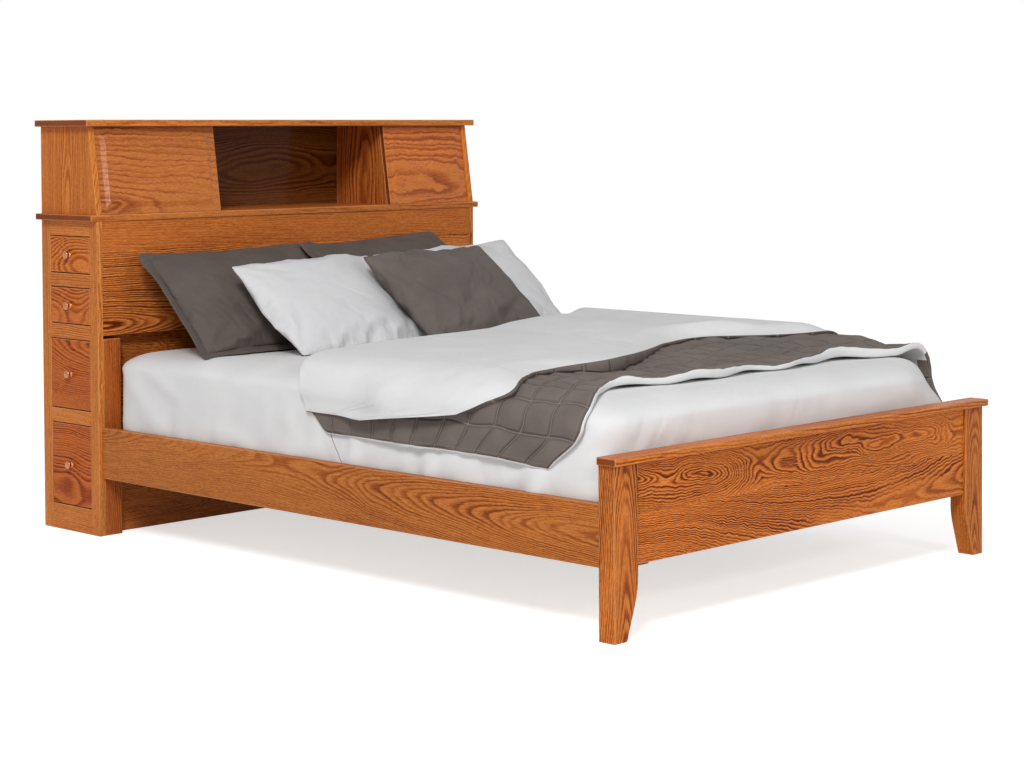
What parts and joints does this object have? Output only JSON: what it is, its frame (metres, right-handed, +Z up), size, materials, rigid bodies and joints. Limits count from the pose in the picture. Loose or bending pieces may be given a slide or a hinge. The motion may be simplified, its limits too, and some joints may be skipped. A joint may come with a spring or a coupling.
{
  "type": "storage bed",
  "caption": "Queen storage bed in stained oak: bookcase headboard with sliding doors, drawers in both ends, low footboard on sabre legs, mattress, coverlet and pillows.",
  "frame": {"origin": "on the floor under the middle of the whole bed", "axes": "+X across the bed to the viewer's right from the foot, +Y towards the headboard, +Z up"},
  "size_m": [1.646, 2.408, 1.27],
  "materials": {
    "oak": "stained oak under satin lacquer, straight grain",
    "oak_panel": "stained oak under satin lacquer, bold plain-sawn figure",
    "plain_wood": "unstained inner wood, matt",
    "knob_metal": "copper plate, polished",
    "sheet": "white cotton fitted sheet",
    "quilt": "taupe grey quilted cotton with white lining",
    "grey_cotton": "dark taupe cotton",
    "white_cotton": "white cotton"
  },
  "bodies": {
    "bed": {"case_side_frame_left": "oak", "case_side_frame_right": "oak", "front_stile_left": "oak", "front_stile_right": "oak", "upper_front_panel": "oak_panel", "lower_front_panel": "oak_panel", "case_back": "oak_panel", "drawer_carcase_left": "plain_wood", "drawer_carcase_right": "plain_wood", "headboard_ledge": "oak", "headboard_top_cap": "oak", "bookcase_side_left": "oak", "bookcase_side_right": "oak", "bookcase_back": "oak_panel", "bookcase_divider_left": "oak", "bookcase_divider_right": "oak", "side_rail_left": "oak", "slat_cleat_left": "plain_wood", "side_rail_right": "oak", "slat_cleat_right": "plain_wood", "slat_base": "plain_wood", "centre_leg_foot": "plain_wood", "centre_leg_head": "plain_wood", "footboard_post_left": "oak", "footboard_post_right": "oak", "footboard_panel": "oak_panel", "footboard_cap": "oak", "mattress": "sheet", "coverlet": "quilt", "pillow_sham_left": "grey_cotton", "pillow_sham_right": "grey_cotton", "pillow_white_left": "white_cotton", "pillow_white_right": "white_cotton", "pillow_accent": "grey_cotton"},
    "drawer_left_1": {"drawer_front_left_1": "oak_panel", "drawer_box_left_1": "plain_wood", "drawer_knob_left_1": "knob_metal"},
    "drawer_left_2": {"drawer_front_left_2": "oak_panel", "drawer_box_left_2": "plain_wood", "drawer_knob_left_2": "knob_metal"},
    "drawer_left_3": {"drawer_front_left_3": "oak_panel", "drawer_box_left_3": "plain_wood", "drawer_knob_left_3": "knob_metal"},
    "drawer_left_4": {"drawer_front_left_4": "oak_panel", "drawer_box_left_4": "plain_wood", "drawer_knob_left_4": "knob_metal"},
    "drawer_right_1": {"drawer_front_right_1": "oak_panel", "drawer_box_right_1": "plain_wood", "drawer_knob_right_1": "knob_metal"},
    "drawer_right_2": {"drawer_front_right_2": "oak_panel", "drawer_box_right_2": "plain_wood", "drawer_knob_right_2": "knob_metal"},
    "drawer_right_3": {"drawer_front_right_3": "oak_panel", "drawer_box_right_3": "plain_wood", "drawer_knob_right_3": "knob_metal"},
    "drawer_right_4": {"drawer_front_right_4": "oak_panel", "drawer_box_right_4": "plain_wood", "drawer_knob_right_4": "knob_metal"},
    "door_left": {"sliding_door_left": "oak_panel"},
    "door_right": {"sliding_door_right": "oak_panel"}
  },
  "joints": [
    {"name": "drawer_left_1_slide", "type": "slide", "parent": "bed", "child": "drawer_left_1", "axis": [-1, 0, 0], "range_m": [0, 0.36]},
    {"name": "drawer_left_2_slide", "type": "slide", "parent": "bed", "child": "drawer_left_2", "axis": [-1, 0, 0], "range_m": [0, 0.36]},
    {"name": "drawer_left_3_slide", "type": "slide", "parent": "bed", "child": "drawer_left_3", "axis": [-1, 0, 0], "range_m": [0, 0.36]},
    {"name": "drawer_left_4_slide", "type": "slide", "parent": "bed", "child": "drawer_left_4", "axis": [-1, 0, 0], "range_m": [0, 0.36]},
    {"name": "drawer_right_1_slide", "type": "slide", "parent": "bed", "child": "drawer_right_1", "axis": [1, 0, 0], "range_m": [0, 0.36]},
    {"name": "drawer_right_2_slide", "type": "slide", "parent": "bed", "child": "drawer_right_2", "axis": [1, 0, 0], "range_m": [0, 0.36]},
    {"name": "drawer_right_3_slide", "type": "slide", "parent": "bed", "child": "drawer_right_3", "axis": [1, 0, 0], "range_m": [0, 0.36]},
    {"name": "drawer_right_4_slide", "type": "slide", "parent": "bed", "child": "drawer_right_4", "axis": [1, 0, 0], "range_m": [0, 0.36]},
    {"name": "door_left_slide", "type": "slide", "parent": "bed", "child": "door_left", "axis": [1, 0, 0], "range_m": [0, 0.36]},
    {"name": "door_right_slide", "type": "slide", "parent": "bed", "child": "door_right", "axis": [-1, 0, 0], "range_m": [0, 0.36]}
  ]
}
